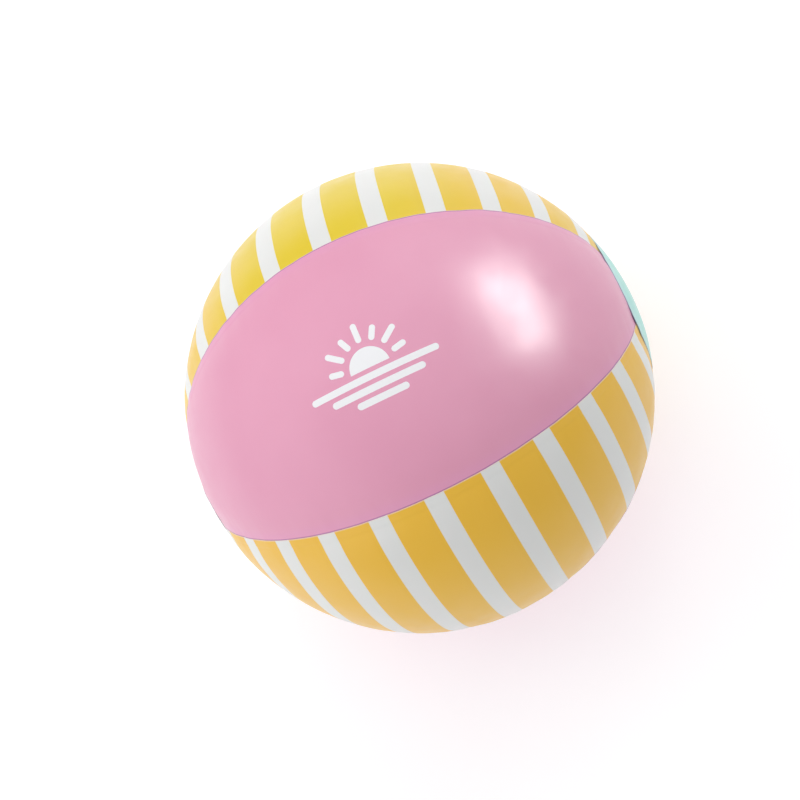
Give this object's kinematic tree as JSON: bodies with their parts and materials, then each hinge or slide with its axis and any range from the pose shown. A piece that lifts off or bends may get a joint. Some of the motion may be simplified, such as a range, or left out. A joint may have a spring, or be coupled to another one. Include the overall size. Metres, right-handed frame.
{
  "type": "inflatable beach ball",
  "caption": "Inflatable vinyl beach ball of welded gores with round end caps and a push-in inflation valve with a hinged plug.",
  "frame": {"origin": "centre of the inflated ball", "axes": "X through both poles, with the inflation valve at -X and the plain cap at +X; +Z through the middle of the first pink panel, which carries the print; the ball stands on the point at -Z"},
  "size_m": [0.325, 0.325, 0.325],
  "materials": {
    "film_pink": "soft satin PVC film, slightly milky",
    "film_striped": "soft satin PVC film printed with yellow bands on white",
    "film_mint": "soft satin PVC film, slightly milky",
    "valve_vinyl": "moulded soft vinyl, translucent"
  },
  "bodies": {
    "envelope": {"panel_pink_1": "film_pink", "panel_pink_2": "film_pink", "panel_pink_3": "film_pink", "panel_striped_1": "film_striped", "panel_striped_2": "film_striped", "panel_striped_3": "film_striped", "end_cap_plain": "film_mint", "end_cap_valve": "film_mint", "valve_flange": "valve_vinyl", "valve_web": "valve_vinyl"},
    "stem": {"valve_stem": "valve_vinyl"},
    "plug": {"valve_plug": "valve_vinyl"},
    "flap": {"valve_flap": "valve_vinyl"}
  },
  "joints": [
    {"name": "stem_pull", "type": "slide", "parent": "envelope", "child": "stem", "axis": [-1, 0, 0], "range_m": [0, 0.012], "deforming": ["valve_web"]},
    {"name": "plug_hinge", "type": "hinge", "parent": "stem", "child": "plug", "pos_m": [-0.16115, 0, 0.0075], "axis": [0, 1, 0], "range_deg": [0, 115]},
    {"name": "flap_hinge", "type": "hinge", "parent": "stem", "child": "flap", "pos_m": [-0.14427, 0, 0.0049], "axis": [0, -1, 0], "range_deg": [0, 60]}
  ]
}
